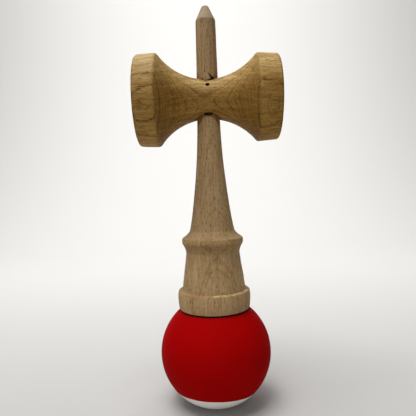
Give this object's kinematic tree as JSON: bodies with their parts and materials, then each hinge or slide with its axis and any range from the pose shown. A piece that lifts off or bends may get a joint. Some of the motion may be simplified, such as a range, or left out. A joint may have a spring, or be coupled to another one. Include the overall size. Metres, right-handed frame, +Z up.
{
  "type": "kendama",
  "caption": "Wooden cup-and-ball toy: painted ball with a bore under a turned handle with base cup and spike, and a crossbar with a large and a small cup.",
  "frame": {"origin": "on the table, under the middle of the ball and its bore", "axes": "+Z up along the handle to the spike, +X along the crossbar towards the small cup (big cup at -X), -Y towards the face with the string hole"},
  "size_m": [0.075, 0.06, 0.214],
  "materials": {
    "beech_handle": "bare, fine sanded",
    "beech_crossbar": "bare, fine sanded",
    "beech_ball": "bare in the bore and on the ring round it",
    "red_paint": "matte, rubbery",
    "white_paint": "matte, rubbery"
  },
  "bodies": {
    "tama": {"tama_core": "beech_ball", "tama_red_coat": "red_paint", "tama_white_coat": "white_paint"},
    "ken": {"ken": "beech_handle"},
    "sarado": {"sarado": "beech_crossbar"}
  },
  "joints": [
    {"name": "ken_lift", "type": "slide", "parent": "tama", "child": "ken", "axis": [0, 0, 1], "range_m": [0, 0.06]},
    {"name": "sarado_pull_off", "type": "slide", "parent": "ken", "child": "sarado", "axis": [0, 0, 1], "range_m": [0, 0.07]}
  ]
}
